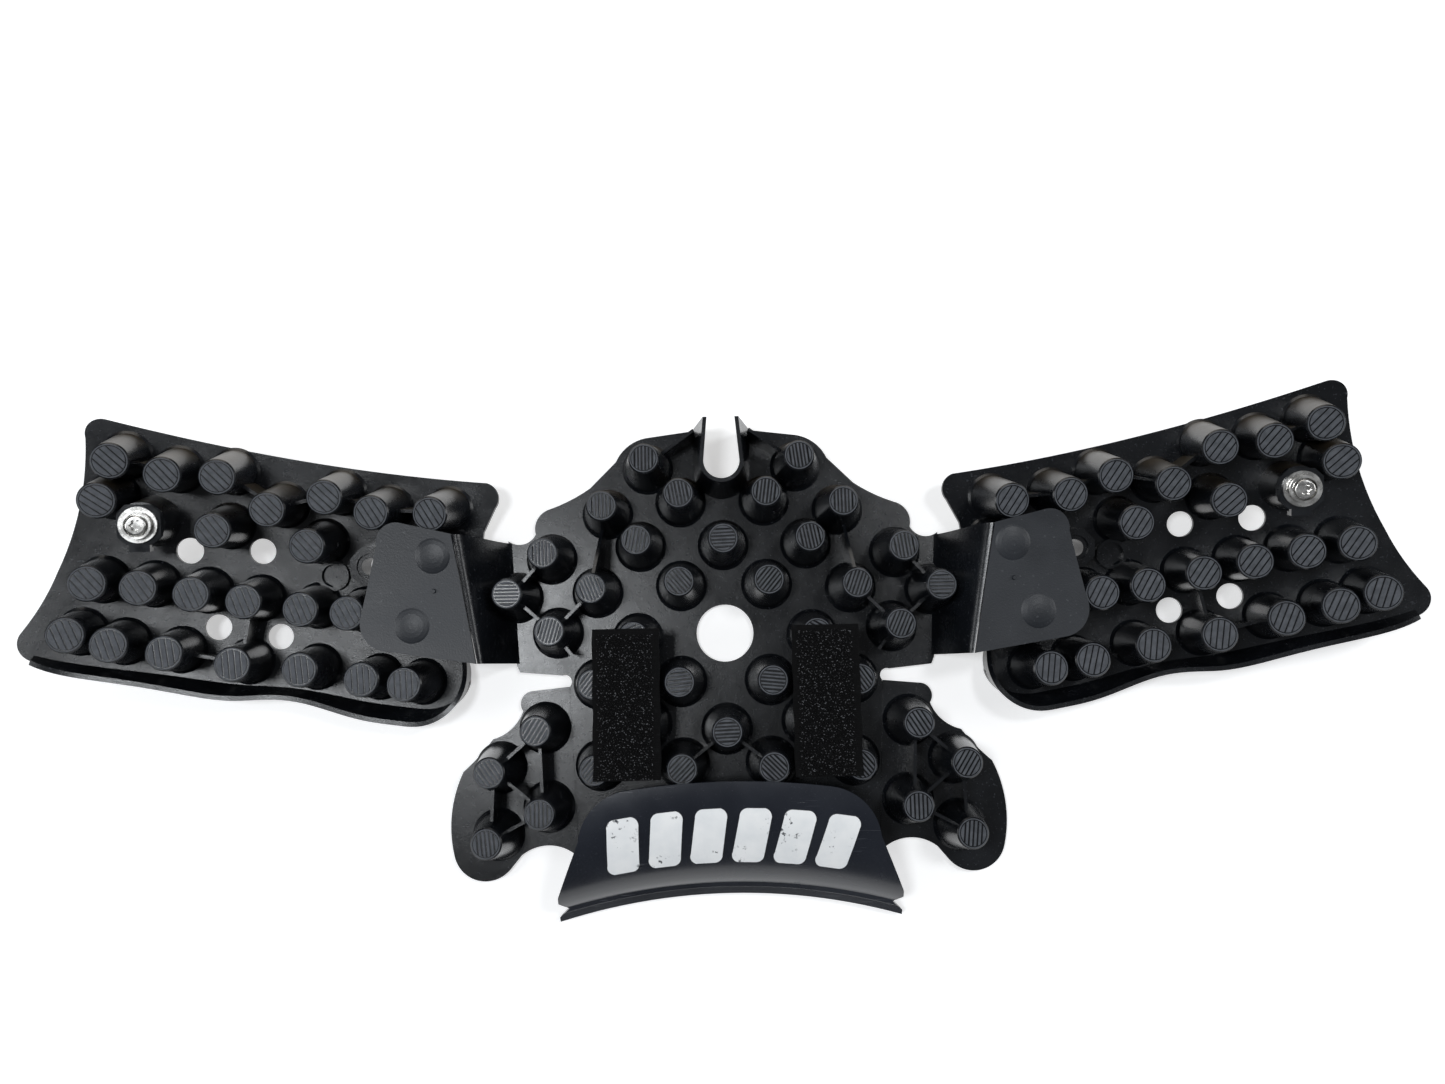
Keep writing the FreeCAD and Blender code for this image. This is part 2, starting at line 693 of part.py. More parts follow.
def socket_shape():
    """Eight-sided collar pressed into the wing, bored through."""
    across = dim("socket_flat") / math.cos(math.radians(22.5))
    collar = octagon(across, dim("socket_height") - 2.4)
    collar.translate(V(0, 0, 2.8))
    spigot = Part.makeCylinder(dim("socket_flat") - 1.62, 3.4, V(0, 0, -0.5), UP)
    step = Part.makeCylinder(dim("socket_bore") + 1.7, 1.4,
                             V(0, 0, dim("socket_height") + 0.4 - 1.0), UP)
    body = collar.fuse(spigot)
    body = body.cut(step)
    return body.cut(Part.makeCylinder(dim("socket_bore"), 40, V(0, 0, -10), UP))


# -------------------------------------------------------------------- assembly
parts = [feature("center_panel", center_panel())]
brow_marks = marks_solid()
parts.append(feature("brow_plate", brow_plate()))
parts.append(feature("brow_marks", brow_marks))

for side, sign in (("left", -1), ("right", 1)):
    tape = doc.addObject("Part::Box", side + "_hook_strip")
    tape.Label = side + "_hook_strip"
    tape.setExpression("Length", "Dimensions.tape_width")
    tape.setExpression("Width", "Dimensions.tape_length")
    tape.setExpression("Height", "Dimensions.tape_thick")
    tape.Placement.Base = V(sign * dim("tape_centre_x") - dim("tape_width") / 2,
                            dim("tape_centre_y") - dim("tape_length") / 2,
                            dim("post_height"))
    parts.append(tape)

    lobe_shape = lobe()
    if sign < 0:
        lobe_shape = mirror_x(lobe_shape)
    frame = WingFrame(dim(side + "_yaw"), sign)
    parts.append(feature(side + "_lobe", lobe_shape))
    parts.append(feature(side + "_wing", wing(frame)))
    parts.append(feature(side + "_tab", tab(frame)))

    boss_place = frame.place(*BOSS)
    socket_place = frame.place(*SOCKET)

    def placed(item, place, height):
        """Set a sub-part on its seat, at a height along the seat's axis."""
        item.Placement = FreeCAD.Placement(place.multVec(V(0, 0, height)), place.Rotation)
        parts.append(item)

    seat = dim("boss_height")
    placed(feature(side + "_retainer_clip", clip_shape()), boss_place, seat)
    seat += dim("clip_thick")
    flange = washer(side + "_flange_washer", "Dimensions.flange_radius",
                    "Dimensions.shank_bore", "Dimensions.flange_thick")
    placed(flange, boss_place, seat)
    seat += dim("flange_thick")
    placed(feature(side + "_cup_washer", cup_shape()), boss_place, seat)
    seat += dim("cup_floor")
    placed(feature(side + "_screw", star_screw()), boss_place, seat)
    placed(feature(side + "_socket_insert", socket_shape()), socket_place, 0.0)

doc.recompute()

for item in doc.Objects:
    if "Invalid" in item.State or "Error" in item.State:
        raise RuntimeError("failed object: " + item.Label)

os.makedirs("parts", exist_ok=True)
for item in parts:
    if item.Shape.isNull() or not item.Shape.isValid():
        raise RuntimeError("bad shape: " + item.Label)
    item.Shape.exportStep(os.path.join("parts", item.Label + ".step"))
    box = item.Shape.BoundBox
    print("%-22s solids %d volume %9.1f  x %7.1f %7.1f  y %7.1f %7.1f  z %6.1f %6.1f" % (
        item.Label, len(item.Shape.Solids), item.Shape.Volume,
        box.XMin, box.XMax, box.YMin, box.YMax, box.ZMin, box.ZMax))
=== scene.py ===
import math
import random

import bmesh
import bpy
from mathutils import Matrix, Vector
from mathutils.bvhtree import BVHTree


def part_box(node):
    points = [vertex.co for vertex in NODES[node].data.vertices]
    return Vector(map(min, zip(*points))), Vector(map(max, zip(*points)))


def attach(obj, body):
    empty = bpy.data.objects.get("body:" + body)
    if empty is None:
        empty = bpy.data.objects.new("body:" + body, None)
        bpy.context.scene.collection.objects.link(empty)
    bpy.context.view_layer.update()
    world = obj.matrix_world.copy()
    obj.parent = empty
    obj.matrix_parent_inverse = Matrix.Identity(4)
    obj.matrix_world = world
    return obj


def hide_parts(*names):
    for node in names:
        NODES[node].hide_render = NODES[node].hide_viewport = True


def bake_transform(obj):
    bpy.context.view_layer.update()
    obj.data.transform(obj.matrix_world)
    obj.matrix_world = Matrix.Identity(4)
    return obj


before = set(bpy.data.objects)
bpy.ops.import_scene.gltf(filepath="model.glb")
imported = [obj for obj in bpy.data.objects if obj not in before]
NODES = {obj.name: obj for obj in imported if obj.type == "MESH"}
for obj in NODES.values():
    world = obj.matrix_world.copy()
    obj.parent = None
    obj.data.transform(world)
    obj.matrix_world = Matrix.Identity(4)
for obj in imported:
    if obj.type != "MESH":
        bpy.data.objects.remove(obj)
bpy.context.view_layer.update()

# Everything is in metres, in the part's own frame: posts point up, the crown is +Y.
MM = 0.001
SIDES = ("left", "right")


# ------------------------------------------------------------ shader notation
class Wire:
    """A shader socket that takes part in ordinary arithmetic."""

    def __init__(self, finish, socket):
        self.finish = finish
        self.socket = socket

    def _maths(self, operation, first, second=None, clamp=False):
        values = {0: first}
        if second is not None:
            values[1] = second
        return self.finish.node("Math", {"operation": operation, "use_clamp": clamp}, values)

    def __add__(self, other):
        return self._maths("ADD", self, other)

    def __radd__(self, other):
        return self._maths("ADD", other, self)

    def __rsub__(self, other):
        return self._maths("SUBTRACT", other, self)

    def __mul__(self, other):
        return self._maths("MULTIPLY", self, other)

    def __rmul__(self, other):
        return self._maths("MULTIPLY", other, self)

    def clamped(self):
        return self._maths("ADD", self, 0.0, clamp=True)


class Finish:
    """One material with a principled shader, built node by node."""

    def __init__(self, name, **constants):
        self.material = bpy.data.materials.new(name)
        self.material.use_nodes = True
        self.tree = self.material.node_tree
        self.tree.nodes.clear()
        self.output = self.tree.nodes.new("ShaderNodeOutputMaterial")
        self.shader = self.tree.nodes.new("ShaderNodeBsdfPrincipled")
        self.tree.links.new(self.shader.outputs[0], self.output.inputs[0])
        for label, value in constants.items():
            self.shader.inputs[label.replace("_", " ")].default_value = value

    def node(self, kind, settings=None, inputs=None, output=0):
        made = self.tree.nodes.new("ShaderNode" + kind)
        for label, value in (settings or {}).items():
            setattr(made, label, value)
        for label, value in (inputs or {}).items():
            self.feed(made.inputs[label], value)
        return Wire(self, made.outputs[output])

    def feed(self, socket, value):
        if isinstance(value, Wire):
            self.tree.links.new(value.socket, socket)
        else:
            socket.default_value = value

    def drive(self, **sockets):
        for label, value in sockets.items():
            self.feed(self.shader.inputs[label.replace("_", " ")], value)
        return self

    # Patterns that the finishes share.
    def place(self):
        return self.node("TexCoord", output="Object")

    def noise(self, scale, detail=3.0, rough=0.55, at=None):
        inputs = {"Vector": at or self.place(), "Scale": scale, "Detail": detail,
                  "Roughness": rough}
        return self.node("TexNoise", {"noise_dimensions": "3D"}, inputs)

    def ramp(self, value, low, high, start=0.0, end=1.0):
        inputs = {"Value": value, "From Min": low, "From Max": high,
                  "To Min": start, "To Max": end}
        return self.node("MapRange", {"clamp": True}, inputs)

    def mix(self, factor, first, second):
        made = self.tree.nodes.new("ShaderNodeMix")
        made.data_type = "RGBA"
        self.feed(made.inputs[0], factor)
        for socket, value in ((made.inputs[6], first), (made.inputs[7], second)):
            if isinstance(value, Wire):
                self.tree.links.new(value.socket, socket)
            else:
                socket.default_value = (*value, 1)
        return Wire(self, made.outputs[2])

    def bump(self, height, distance, strength=1.0, below=None):
        inputs = {"Height": height, "Distance": distance, "Strength": strength}
        if below is not None:
            inputs["Normal"] = below
        return self.node("Bump", {}, inputs)


# ------------------------------------------------------------------- finishes
# Levels between which the hooks of the tape get a painted highlight.
TIP_LOW = 28.75 * MM
TIP_HIGH = 29.15 * MM


def moulded_tpu():
    """Satin near-black elastomer, with a painted warm glow of light browning the thin
    crown-side walls.
    """
    finish = Finish("moulded_tpu", Specular_IOR_Level=0.42)
    grain = finish.noise(2600.0, detail=2.0)
    clouds = finish.ramp(finish.noise(38.0, detail=4.0), 0.35, 0.68)
    dust = finish.ramp(finish.noise(900.0, detail=1.0), 0.66, 0.74)
    wear = finish.ramp(finish.noise(210.0, detail=5.0), 0.40, 0.66)
    height = finish.node("SeparateXYZ", {}, {"Vector": finish.place()}, output="Y")
    facing = finish.node("TexCoord", output="Normal")
    crownward = finish.node("SeparateXYZ", {}, {"Vector": facing}, output="Y")
    # Painted warm glow: mask of walls facing the crown, high on the part, where brown light is
    # painted; it also roughens them.
    painted_warm_glow = finish.ramp(crownward, 0.35, 0.95) * finish.ramp(height, 0.040, 0.062)
    colour = finish.mix(clouds, (0.0034, 0.0040, 0.0053), (0.0070, 0.0083, 0.0108))
    colour = finish.mix(dust * 0.5, colour, (0.050, 0.055, 0.063))
    # Mix the painted warm glow of light into the colour.
    colour = finish.mix(painted_warm_glow * (0.55 + clouds * 0.45), colour, (0.050, 0.037, 0.021))
    rough = 0.20 + clouds * 0.07 + wear * 0.03 + painted_warm_glow * 0.14
    relief = finish.bump(grain, 0.00006, 0.55)
    relief = finish.bump(wear, 0.00006, 0.18, below=relief)
    return finish.drive(Base_Color=colour, Roughness=rough, Normal=relief).material


def tab_tpu():
    """Paler, rougher face of the tabs, rubbed by handling."""
    finish = Finish("tab_tpu", Specular_IOR_Level=0.5)
    grain = finish.noise(1700.0, detail=3.0)
    rub = finish.ramp(finish.noise(34.0, detail=4.0), 0.34, 0.68)
    pits = finish.ramp(finish.noise(640.0, detail=1.0), 0.70, 0.76)
    colour = finish.mix(rub, (0.0105, 0.0125, 0.0165), (0.0190, 0.0220, 0.0275))
    colour = finish.mix(pits * 0.6, colour, (0.060, 0.065, 0.072))
    rough = 0.38 + rub * 0.10
    relief = finish.bump(grain, 0.00009, 0.6)
    return finish.drive(Base_Color=colour, Roughness=rough, Normal=relief).material


def post_top_tpu():
    """Matte grey land of the post tops, rubbed paler on the ridges."""
    finish = Finish("post_top_tpu", Specular_IOR_Level=0.45)
    grain = finish.noise(3400.0, detail=2.0)
    rub = finish.ramp(finish.noise(420.0, detail=3.0), 0.38, 0.66)
    colour = finish.mix(rub, (0.046, 0.051, 0.060), (0.082, 0.089, 0.102))
    rough = 0.60 + rub * 0.10
    relief = finish.bump(grain, 0.00005, 0.6)
    return finish.drive(Base_Color=colour, Roughness=rough, Normal=relief).material


def brow_gloss():
    """Glossy navy-black plate with wiping marks, fine scratches and a few chips."""
    finish = Finish("brow_gloss", Specular_IOR_Level=0.6)
    place = finish.place()
    smear = finish.ramp(finish.noise(26.0, detail=4.0), 0.36, 0.68)
    stretched = finish.node("Mapping", {}, {"Vector": place, "Rotation": (0.0, 0.0, 0.5),
                                            "Scale": (30.0, 900.0, 300.0)})
    scratch = finish.ramp(finish.noise(1.6, detail=2.0, at=stretched), 0.655, 0.70)
    patch = finish.ramp(finish.noise(60.0, detail=2.0), 0.50, 0.62)
    speck = finish.ramp(finish.noise(1500.0, detail=1.0), 0.70, 0.76)
    colour = finish.mix(smear, (0.0065, 0.0085, 0.0145), (0.0125, 0.0155, 0.0235))
    colour = finish.mix((scratch * patch * 0.35 + speck * 0.25).clamped(), colour,
                        (0.075, 0.080, 0.095))
    rough = 0.20 + smear * 0.10 + scratch * patch * 0.20
    relief = finish.bump(scratch * patch, 0.00004, 0.5)
    relief = finish.bump(finish.noise(900.0, detail=2.0), 0.00003, 0.25, below=relief)
    return finish.drive(Base_Color=colour, Roughness=rough, Normal=relief).material


def worn_white():
    """Glossy white print, scratched through to the dark plate in small chips."""
    finish = Finish("worn_white", Specular_IOR_Level=0.5)
    chips = finish.ramp(finish.noise(330.0, detail=6.0, rough=0.72), 0.585, 0.605)
    area = finish.ramp(finish.noise(75.0, detail=2.0), 0.52, 0.60)
    tint = finish.ramp(finish.noise(140.0, detail=3.0), 0.35, 0.68)
    white = finish.mix(tint, (0.88, 0.90, 0.91), (0.96, 0.97, 0.97))
    colour = finish.mix(chips * area, white, (0.03, 0.035, 0.045))
    rough = 0.30 + tint * 0.12
    relief = finish.bump(1.0 - chips * area, 0.00012, 0.6)
    return finish.drive(Base_Color=colour, Roughness=rough, Normal=relief).material


def bright_stainless():
    """Turned stainless with light tool marks and a faint smear."""
    finish = Finish("bright_stainless", Metallic=1.0)
    smear = finish.ramp(finish.noise(260.0, detail=3.0), 0.35, 0.70)
    fine = finish.noise(5200.0, detail=2.0)
    colour = finish.mix(smear, (0.50, 0.49, 0.47), (0.70, 0.69, 0.67))
    rough = 0.20 + smear * 0.16
    relief = finish.bump(fine, 0.00002, 0.35)
    return finish.drive(Base_Color=colour, Roughness=rough, Normal=relief).material


def clip_gloss():
    """Polished black retainer."""
    finish = Finish("clip_gloss", Specular_IOR_Level=0.6)
    smear = finish.ramp(finish.noise(180.0, detail=3.0), 0.35, 0.70)
    colour = finish.mix(smear, (0.007, 0.008, 0.010), (0.014, 0.016, 0.019))
    rough = 0.10 + smear * 0.10
    relief = finish.bump(finish.noise(1800.0, detail=2.0), 0.00004, 0.3)
    return finish.drive(Base_Color=colour, Roughness=rough, Normal=relief).material


def tape_weave():
    """Black woven ground of the hook tape; the weave follows the tape's length."""
    finish = Finish("tape_weave", Specular_IOR_Level=0.12)
    warp = finish.node("TexWave", {"bands_direction": "X"},
                       {"Vector": finish.place(), "Scale": 560.0, "Distortion": 0.4})
    weft = finish.node("TexWave", {"bands_direction": "Y"},
                       {"Vector": finish.place(), "Scale": 480.0, "Distortion": 0.4})
    lint = finish.ramp(finish.noise(700.0, detail=3.0), 0.56, 0.70)
    colour = finish.mix(warp * weft, (0.0006, 0.0006, 0.0008), (0.0035, 0.0038, 0.0045))
    colour = finish.mix(lint * 0.30, colour, (0.016, 0.017, 0.018))
    relief = finish.bump(warp * weft, 0.00022, 0.8)
    return finish.drive(Base_Color=colour, Roughness=0.72 + lint * 0.12,
                        Normal=relief).material


def hook_nylon():
    """Black nylon of the hooks, with a painted highlight on the bends at their tips."""
    finish = Finish("hook_nylon", Specular_IOR_Level=0.25)
    shade = finish.ramp(finish.noise(620.0, detail=2.0), 0.46, 0.62)
    level = finish.node("SeparateXYZ", {}, {"Vector": finish.place()}, output="Z")
    # Painted highlight on the hook tips, standing in for glints on their bends.
    painted_tip_glint = finish.ramp(level, TIP_LOW, TIP_HIGH)
    colour = finish.mix(painted_tip_glint * shade, (0.0008, 0.0008, 0.0010), (0.15, 0.155, 0.165))
    return finish.drive(Base_Color=colour, Roughness=0.42 + shade * 0.16).material


# ------------------------------------------------------------------ mesh tools
def new_piece(name, mesh_maker, material, body=None):
    """Make an object from a bmesh, give it its finish, and set it on its body if it has one."""
    mesh = bpy.data.meshes.new(name)
    mesh_maker.to_mesh(mesh)
    mesh_maker.free()
    mesh.materials.append(material)
    piece = bpy.data.objects.new(name, mesh)
    bpy.context.scene.collection.objects.link(piece)
    if body:
        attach(piece, body)
    return piece


# How level a post top has to be, how alike two of its faces' normals are, and how near
# its area and reach are to those of a disc.
LEVEL_ENOUGH = 0.85
SAME_PLANE = 0.99999
ROUND_ENOUGH = 0.06
WELD = 0.002 * MM


def flat_patches(shape):
    """Groups of joined faces that lie in one upward plane."""
    seen = set()
    for first in shape.faces:
        if first in seen or first.normal.z < LEVEL_ENOUGH:
            continue
        seen.add(first)
        patch = [first]
        for member in patch:
            for edge in member.edges:
                for other in edge.link_faces:
                    if other not in seen and other.normal.dot(first.normal) > SAME_PLANE:
                        seen.add(other)
                        patch.append(other)
        yield patch


def post_tops(node_name, radius):
    """Centre and normal of each flat round post top on a CAD node."""
    shape = bmesh.new()
    shape.from_mesh(NODES[node_name].data)
    bmesh.ops.remove_doubles(shape, verts=shape.verts, dist=WELD)
    disc = math.pi * radius ** 2
    tops = []
    for patch in flat_patches(shape):
        area = sum(face.calc_area() for face in patch)
        if abs(area / disc - 1) < ROUND_ENOUGH:
            centre = sum((face.calc_center_median() * face.calc_area() for face in patch),
                         Vector()) / area
            reach = max((vert.co - centre).length for face in patch for vert in face.verts)
            if reach < radius * (1 + ROUND_ENOUGH):
                tops.append((centre, patch[0].normal.copy()))
    shape.free()
    return tops


# ----------------------------------------------------------------- post ridges
RIDGE_RISE = 0.50 * MM
RIDGE_ROUND = 0.12 * MM
CAP_SINK = 0.05 * MM
CAP_SIDES = 28
LIP_WIDTH = 0.40 * MM
LIP_RISE = 0.30 * MM
LAND_MARGIN = 0.75 * MM
COVER_REACH = 8.0 * MM
PANEL_FLAT = 5.4 * MM
WING_FLAT = 6.1 * MM
PANEL_GROOVE = 0.62 * MM
WING_GROOVE = 0.50 * MM


def ridged_disc(radius, ridges, groove):
    """Round land cut into parallel ridges along Y, with broken top edges."""
    disc = bmesh.new()
    bmesh.ops.create_circle(disc, cap_ends=True, segments=CAP_SIDES, radius=radius)
    pitch = 2 * radius / ridges
    grooves = [(index - (ridges - 1) / 2 + 0.5) * pitch for index in range(ridges - 1)]
    for centre in grooves:
        for edge in (centre - groove / 2, centre + groove / 2):
            everything = disc.verts[:] + disc.edges[:] + disc.faces[:]
            bmesh.ops.bisect_plane(disc, geom=everything, plane_co=(edge, 0, 0),
                                   plane_no=(1, 0, 0))
    sunk = [face for face in disc.faces
            if any(abs(face.calc_center_median().x - centre) < groove / 2
                   for centre in grooves)]
    bmesh.ops.delete(disc, geom=sunk, context="FACES")
    bmesh.ops.translate(disc, verts=disc.verts, vec=(0, 0, -CAP_SINK))
    base = disc.faces[:]
    grown = bmesh.ops.extrude_face_region(disc, geom=base)["geom"]
    lifted = [item for item in grown if isinstance(item, bmesh.types.BMVert)]
    bmesh.ops.translate(disc, verts=lifted, vec=(0, 0, RIDGE_RISE + CAP_SINK))
    bmesh.ops.delete(disc, geom=base, context="FACES_ONLY")
    bmesh.ops.recalc_face_normals(disc, faces=disc.faces)
    top = RIDGE_RISE - 0.001 * MM
    rims = [edge for edge in disc.edges
            if all(vert.co.z > top for vert in edge.verts) and len(edge.link_faces) == 2
            and abs(edge.calc_face_angle(0)) > 0.5]
    bmesh.ops.bevel(disc, geom=rims, offset=RIDGE_ROUND, segments=2, profile=0.5,
                    affect="EDGES", material=-1)
    return disc


def rim_ring(radius):
    """Raised lip round the ridges."""
    ring = bmesh.new()
    bmesh.ops.create_circle(ring, cap_ends=False, segments=CAP_SIDES, radius=radius)
    outer = ring.edges[:]
    spread = bmesh.ops.extrude_edge_only(ring, edges=outer)["geom"]
    inner = [item for item in spread if isinstance(item, bmesh.types.BMVert)]
    share = (radius - LIP_WIDTH) / radius
    bmesh.ops.scale(ring, vec=(share, share, 1), verts=inner)
    flat = ring.faces[:]
    grown = bmesh.ops.extrude_face_region(ring, geom=flat)["geom"]
    lifted = [item for item in grown if isinstance(item, bmesh.types.BMVert)]
    bmesh.ops.translate(ring, verts=lifted, vec=(0, 0, LIP_RISE + CAP_SINK))
    bmesh.ops.delete(ring, geom=flat, context="FACES_ONLY")
    bmesh.ops.translate(ring, verts=ring.verts, vec=(0, 0, -CAP_SINK))
    bmesh.ops.recalc_face_normals(ring, faces=ring.faces)
    return ring


# Headings of the ridges, in degrees from +X, for posts near (x, y) in millimetres.
CENTRE_HEADINGS = [
    (-29.7, 66.3, 90), (29.7, 66.3, 97), (-46, 48.4, 92), (46, 48.4, 90), (-16.7, 52.7, 100),
    (16.7, 52.7, 82), (-68.4, 30.8, 92), (68.4, 30.8, 98), (-33, 35.1, 80), (33, 35.1, 101),
    (0, 35.1, 2), (-82, 15.7, 0), (82, 15.7, 0), (-50.3, 17.1, 112), (50.3, 17.1, 70),
    (-17, 19.1, 130), (17, 19.1, 50), (-66.1, 1.4, 74), (66.1, 1.4, 66), (-34.5, -1.4, 20),
    (34.5, -1.4, 150), (-50, -18.9, 52), (50, -18.9, 125), (-17.5, -18.7, 6),
    (17.5, -18.7, -6), (0, -37.5, 2), (-17.1, -50.7, 45), (17.1, -50.7, 135),
    (-49.5, -50.5, 50), (49.5, -50.5, 130), (-71.4, -35.6, 58), (71.4, -35.6, 122),
    (-88.6, -50.6, 124), (88.6, -50.6, 58), (-70, -66, 90), (70, -66, 90),
    (-89.6, -76.2, 96), (89.6, -76.2, 84),
]


def centre_heading(spot):
    """Heading listed for the nearest post."""
    def away(entry):
        return (entry[0] * MM - spot.x) ** 2 + (entry[1] * MM - spot.y) ** 2
    return math.radians(min(CENTRE_HEADINGS, key=away)[2])


def wing_heading(spot):
    """Ridges lean with the wing: slanted at the crown edge, upright at the brow edge."""
    side = math.copysign(1, spot.x)
    outward = min(max((abs(spot.x) - 0.10) / 0.15, 0), 1)
    towards_brow = min(max((0.045 - spot.y) / 0.060, 0), 1)
    lean = (34 - 26 * towards_brow) + 16 * outward * (1 - towards_brow)
    wander = 7 * math.sin(spot.x * 310 + spot.y * 170)
    return math.radians(90 - side * (lean + wander))


def ridge_caps(name, body, node_name, flat_radius, ridges, groove, heading, material,
               covers=()):
    """Ridged lands on every open post top of one node, as one piece."""
    lids = [BVHTree.FromObject(NODES[cover], bpy.context.evaluated_depsgraph_get())
            for cover in covers]
    land = bpy.data.meshes.new(name + "_land")
    disc = ridged_disc(flat_radius - LAND_MARGIN, ridges, groove)
    disc.to_mesh(land)
    disc.free()
    lip = bpy.data.meshes.new(name + "_lip")
    ring = rim_ring(flat_radius)
    ring.to_mesh(lip)
    ring.free()
    caps = bmesh.new()
    for centre, normal in post_tops(node_name, flat_radius):
        above = centre + normal * 0.2 * MM
        if any(lid.ray_cast(above, normal, COVER_REACH)[0] for lid in lids):
            continue
        upright = Vector((0, 0, 1)).rotation_difference(normal).to_matrix().to_4x4()
        turn = Matrix.Rotation(heading(centre) - math.pi / 2, 4, "Z")
        stand = Matrix.Translation(centre) @ upright @ turn
        for part in (land, lip):
            before = len(caps.verts)
            caps.from_mesh(part)
            caps.verts.ensure_lookup_table()
            bmesh.ops.transform(caps, matrix=stand, verts=caps.verts[before:])
    return new_piece(name, caps, material, body)


# ------------------------------------------------------------------- hook tape
TAPE_LIFT = 0.52 * MM
WEB_THICK = 0.75 * MM
WEB_MARGIN = 0.3 * MM
HOOK_RISE = 1.10 * MM
HOOK_RADIUS = 0.125 * MM
SELVAGE = 2.2 * MM
PITCH_ACROSS = 0.98 * MM
PITCH_ALONG = 1.12 * MM
# Turn in degrees, sideways step in millimetres and share of the rise, from foot to tip.
HOOK_BENDS = [(0.0, 0.0, 0.55), (14.0, 0.06, 0.30), (48.0, 0.20, 0.22), (62.0, 0.30, 0.06)]


def tape_web(lo, hi, seed):
    """Woven ground with slightly wavy long edges and a gentle sag between the posts."""
    dice = random.Random(seed)
    phase = [dice.uniform(0, math.tau) for _ in range(3)]
    web = bmesh.new()
    bmesh.ops.create_grid(web, x_segments=22, y_segments=48, size=0.5)
    width = hi.x - lo.x
    length = hi.y - lo.y
    middle = (lo + hi) / 2
    for vert in web.verts:
        u, v = vert.co.x, vert.co.y
        edge = abs(u) * 2
        sway = 0.16 * MM * edge ** 4 * math.sin(v * 21 + phase[0])
        vert.co.x = middle.x + u * (width - WEB_MARGIN) + sway
        vert.co.y = middle.y + v * length
        lift = 0.05 * MM * math.sin(v * 14 + phase[1]) * math.cos(u * 5 + phase[2])
        vert.co.z = lo.z + TAPE_LIFT + WEB_THICK + lift
    bmesh.ops.solidify(web, geom=web.faces[:], thickness=WEB_THICK)
    bmesh.ops.recalc_face_normals(web, faces=web.faces)
    return web


def hook_shape(lean):
    """One cut loop: a short bent nylon filament with a four-sided section."""
    wire = bmesh.new()
    bmesh.ops.create_circle(wire, cap_ends=True, segments=4, radius=HOOK_RADIUS)
    tip = wire.faces[:]
    for angle, sideways, rise in HOOK_BENDS:
        grown = bmesh.ops.extrude_face_region(wire, geom=tip)["geom"]
        bmesh.ops.delete(wire, geom=tip, context="FACES_ONLY")
        tip = [item for item in grown if isinstance(item, bmesh.types.BMFace)]
        moved = [item for item in grown if isinstance(item, bmesh.types.BMVert)]
        centre = sum((vert.co for vert in moved), Vector()) / len(moved)
        step = Vector((sideways * MM * lean, 0, rise * HOOK_RISE))
        bmesh.ops.translate(wire, verts=moved, vec=step)
        turn = Matrix.Rotation(math.radians(angle * 0.5) * lean, 3, "Y")
        bmesh.ops.rotate(wire, verts=moved, cent=centre + step, matrix=turn)
    bmesh.ops.recalc_face_normals(wire, faces=wire.faces)
    return wire


def hook_field(lo, hi, seed):
    """Rows of hooks between the two selvages, each leaning its own way."""
    dice = random.Random(seed)
    masters = []
    for lean in (1.0, -1.0, 0.6):
        master = bpy.data.meshes.new("hook_master")
        wire = hook_shape(lean)
        wire.to_mesh(master)
        wire.free()
        masters.append(master)
    field = bmesh.new()
    floor = lo.z + TAPE_LIFT + WEB_THICK - 0.08 * MM
    rows = int((hi.y - lo.y - 1.2 * MM) / PITCH_ALONG)
    columns = int((hi.x - lo.x - 2 * SELVAGE) / PITCH_ACROSS)
    for row in range(rows):
        for column in range(columns):
            shift = 0.5 if row % 2 else 0.0
            x = lo.x + SELVAGE + (column + shift + dice.uniform(-0.34, 0.34)) * PITCH_ACROSS
            y = lo.y + 0.8 * MM + (row + dice.uniform(-0.34, 0.34)) * PITCH_ALONG
            before = len(field.verts)
            field.from_mesh(dice.choice(masters))
            field.verts.ensure_lookup_table()
            turn = Matrix.Rotation(dice.uniform(-1.3, 1.3), 4, "Z")
            tilt = Matrix.Rotation(dice.uniform(-0.22, 0.22), 4, "Y")
            size = Matrix.Scale(dice.uniform(0.85, 1.05), 4)
            stand = Matrix.Translation((x, y, floor)) @ turn @ tilt @ size
            bmesh.ops.transform(field, matrix=stand, verts=field.verts[before:])
    return field


def hook_strip(side, seed, weave, nylon):
    """Detailed hook tape in the room of its plain CAD strip."""
    node_name = side + "_hook_strip"
    lo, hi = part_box(node_name)
    lo, hi = Vector(lo), Vector(hi)
    web = new_piece(side + "_tape_web", tape_web(lo, hi, seed), weave, "center")
    hooks = new_piece(side + "_tape_hooks", hook_field(lo, hi, seed), nylon,
                      "center")
    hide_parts(node_name)


# ----------------------------------------------------------------- lobe hinges
# Ends of the right lobe's hinge line, and the section of the web that closes it.
HINGE_BROW = Vector((58.5, -85.2, 0.0)) * MM
HINGE_CROWN = Vector((61.75, -20.3, 0.0)) * MM
WEB_HALF_WIDTH = 1.2 * MM
WEB_BOTTOM = 0.6 * MM
WEB_TOP = 1.6 * MM


